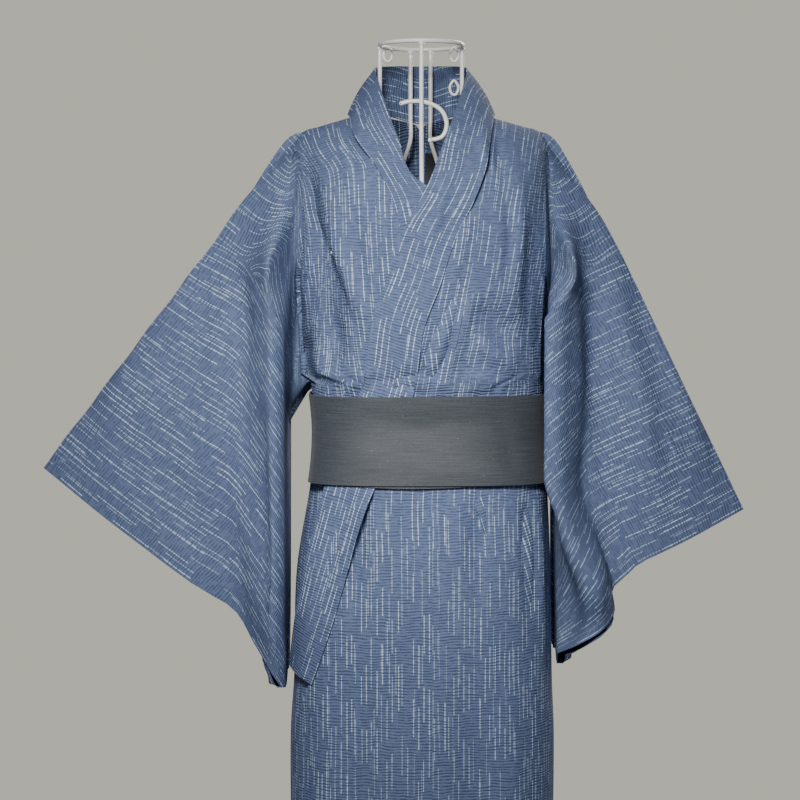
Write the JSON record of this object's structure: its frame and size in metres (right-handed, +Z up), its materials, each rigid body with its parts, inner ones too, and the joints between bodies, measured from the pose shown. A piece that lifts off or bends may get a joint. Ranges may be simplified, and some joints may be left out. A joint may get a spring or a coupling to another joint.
{
  "type": "yukata robe on wire dress form",
  "caption": "Cotton yukata robe closed left over right with a tied obi belt, standing on a painted wire dress form with a round foot.",
  "frame": {"origin": "centre of the foot's underside, on the floor under the pole", "axes": "+Z up; the robe's front faces -Y; +X is the wearer's left"},
  "size_m": [0.8444, 0.38, 1.5506],
  "materials": {
    "slate_cotton": "matt crepe cotton",
    "charcoal_cotton": "matt plain weave",
    "black_label": "matt woven label, bare",
    "white_paint": "satin"
  },
  "bodies": {
    "root": {"body_left": "slate_cotton", "body_right": "slate_cotton", "sleeve_left": "slate_cotton", "sleeve_right": "slate_cotton", "okumi_left": "slate_cotton", "okumi_right": "slate_cotton", "collar": "slate_cotton", "obi_band": "charcoal_cotton", "obi_knot": "charcoal_cotton", "obi_tail_left": "charcoal_cotton", "obi_tail_right": "charcoal_cotton", "neck_label": "black_label", "foot": "white_paint", "pole": "white_paint", "hub": "white_paint", "front_wire": "white_paint", "left_wire": "white_paint", "right_wire": "white_paint", "back_wire_left": "white_paint", "back_wire_right": "white_paint", "front_spoke": "white_paint", "left_spoke": "white_paint", "right_spoke": "white_paint", "back_spoke_left": "white_paint", "back_spoke_right": "white_paint", "chest_ring": "white_paint", "waist_ring": "white_paint", "hip_ring": "white_paint", "neck_ring": "white_paint", "shoulder_wire_left": "white_paint", "shoulder_wire_right": "white_paint", "scroll": "white_paint", "leaf_right": "white_paint", "leaf_left_upper": "white_paint", "leaf_left_lower": "white_paint"}
  },
  "joints": []
}
